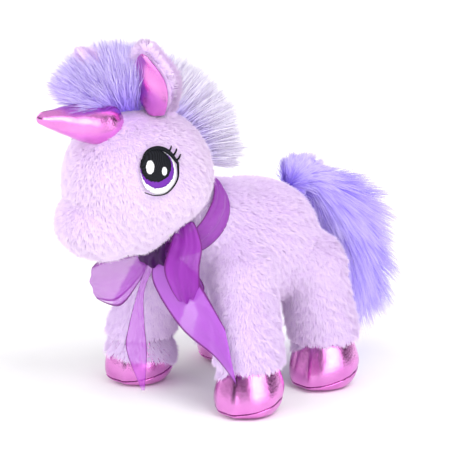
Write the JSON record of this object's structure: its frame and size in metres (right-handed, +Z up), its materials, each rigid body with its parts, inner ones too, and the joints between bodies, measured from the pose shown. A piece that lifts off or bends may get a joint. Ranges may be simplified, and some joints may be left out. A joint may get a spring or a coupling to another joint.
{
  "type": "plush unicorn",
  "caption": "Standing plush unicorn with foil horn, hooves and ear linings, long-pile mane and tail, and a sheer ribbon bow; head, ears, legs and tail flex at their seams.",
  "frame": {"origin": "middle of the footprint of the whole toy, on the ground", "axes": "+Z up, the unicorn faces -Y, its own left side is +X"},
  "size_m": [0.144, 0.2848, 0.2394],
  "materials": {
    "plush": "short pile, matt, pale lilac",
    "long_pile": "long pile, matt, periwinkle",
    "foil": "metallic pink foil laminated on cloth, glossy",
    "filling": "polyester fibre, matt",
    "ribbon": "sheer organza, soft sheen",
    "thread_white": "satin embroidery",
    "thread_black": "satin embroidery",
    "thread_violet": "satin embroidery"
  },
  "bodies": {
    "torso": {"body_cover": "plush", "body_stuffing": "filling", "neck_ribbon": "ribbon", "bow_knot": "ribbon", "bow_loop_left": "ribbon", "bow_loop_right": "ribbon", "ribbon_tail_left": "ribbon", "ribbon_tail_right": "ribbon"},
    "neck": {"neck_stuffing": "filling"},
    "head": {"head_cover": "plush", "head_stuffing": "filling", "horn_cover": "foil", "horn_stuffing": "filling", "forelock": "long_pile", "mane_crest": "long_pile", "eye_white_left": "thread_white", "eye_iris_left": "thread_violet", "eye_pupil_left": "thread_black", "eye_glint_left": "thread_white", "eye_lashes_left": "thread_black", "eye_white_right": "thread_white", "eye_iris_right": "thread_violet", "eye_pupil_right": "thread_black", "eye_glint_right": "thread_white", "eye_lashes_right": "thread_black"},
    "ear_left": {"ear_lining_left": "foil", "ear_back_left": "plush"},
    "ear_right": {"ear_lining_right": "foil", "ear_back_right": "plush"},
    "leg_front_left": {"leg_cover_front_left": "plush", "leg_stuffing_front_left": "filling", "hoof_front_left": "foil", "sole_front_left": "foil"},
    "leg_front_right": {"leg_cover_front_right": "plush", "leg_stuffing_front_right": "filling", "hoof_front_right": "foil", "sole_front_right": "foil"},
    "leg_rear_left": {"leg_cover_rear_left": "plush", "leg_stuffing_rear_left": "filling", "hoof_rear_left": "foil", "sole_rear_left": "foil"},
    "leg_rear_right": {"leg_cover_rear_right": "plush", "leg_stuffing_rear_right": "filling", "hoof_rear_right": "foil", "sole_rear_right": "foil"},
    "tail": {"tail_root": "long_pile", "tail_plume": "long_pile"}
  },
  "joints": [
    {"name": "neck_turn", "type": "hinge", "parent": "torso", "child": "neck", "pos_m": [0, -0.03094, 0.1175], "axis": [0, 0, 1], "range_deg": [-15, 15], "stiffness_Nm_per_rad": 0.3},
    {"name": "head_nod", "type": "hinge", "parent": "neck", "child": "head", "pos_m": [0, -0.03094, 0.1175], "axis": [0.9848, -0.1736, 0], "range_deg": [-12, 8], "stiffness_Nm_per_rad": 0.8},
    {"name": "ear_left_bend", "type": "hinge", "parent": "head", "child": "ear_left", "pos_m": [0.00852, -0.06899, 0.1935], "axis": [0.99, 0.1119, -0.0855], "range_deg": [-15, 15], "stiffness_Nm_per_rad": 0.02},
    {"name": "ear_right_bend", "type": "hinge", "parent": "head", "child": "ear_right", "pos_m": [-0.02102, -0.06378, 0.1935], "axis": [0.9135, -0.3934, -0.1037], "range_deg": [-15, 15], "stiffness_Nm_per_rad": 0.02},
    {"name": "leg_front_left_swing", "type": "hinge", "parent": "torso", "child": "leg_front_left", "pos_m": [0.03, -0.01494, 0.0825], "axis": [1, 0, 0], "range_deg": [-6, 10], "stiffness_Nm_per_rad": 0.8},
    {"name": "leg_front_right_swing", "type": "hinge", "parent": "torso", "child": "leg_front_right", "pos_m": [-0.03, -0.01494, 0.0825], "axis": [1, 0, 0], "range_deg": [-6, 10], "stiffness_Nm_per_rad": 0.8},
    {"name": "leg_rear_left_swing", "type": "hinge", "parent": "torso", "child": "leg_rear_left", "pos_m": [0.031, 0.04506, 0.0745], "axis": [1, 0, 0], "range_deg": [-10, 8], "stiffness_Nm_per_rad": 0.8},
    {"name": "leg_rear_right_swing", "type": "hinge", "parent": "torso", "child": "leg_rear_right", "pos_m": [-0.031, 0.04506, 0.0745], "axis": [1, 0, 0], "range_deg": [-10, 8], "stiffness_Nm_per_rad": 0.8},
    {"name": "tail_swing", "type": "hinge", "parent": "torso", "child": "tail", "pos_m": [0, 0.06306, 0.117], "axis": [0, 1, 0], "range_deg": [-18, 18], "stiffness_Nm_per_rad": 0.05}
  ]
}
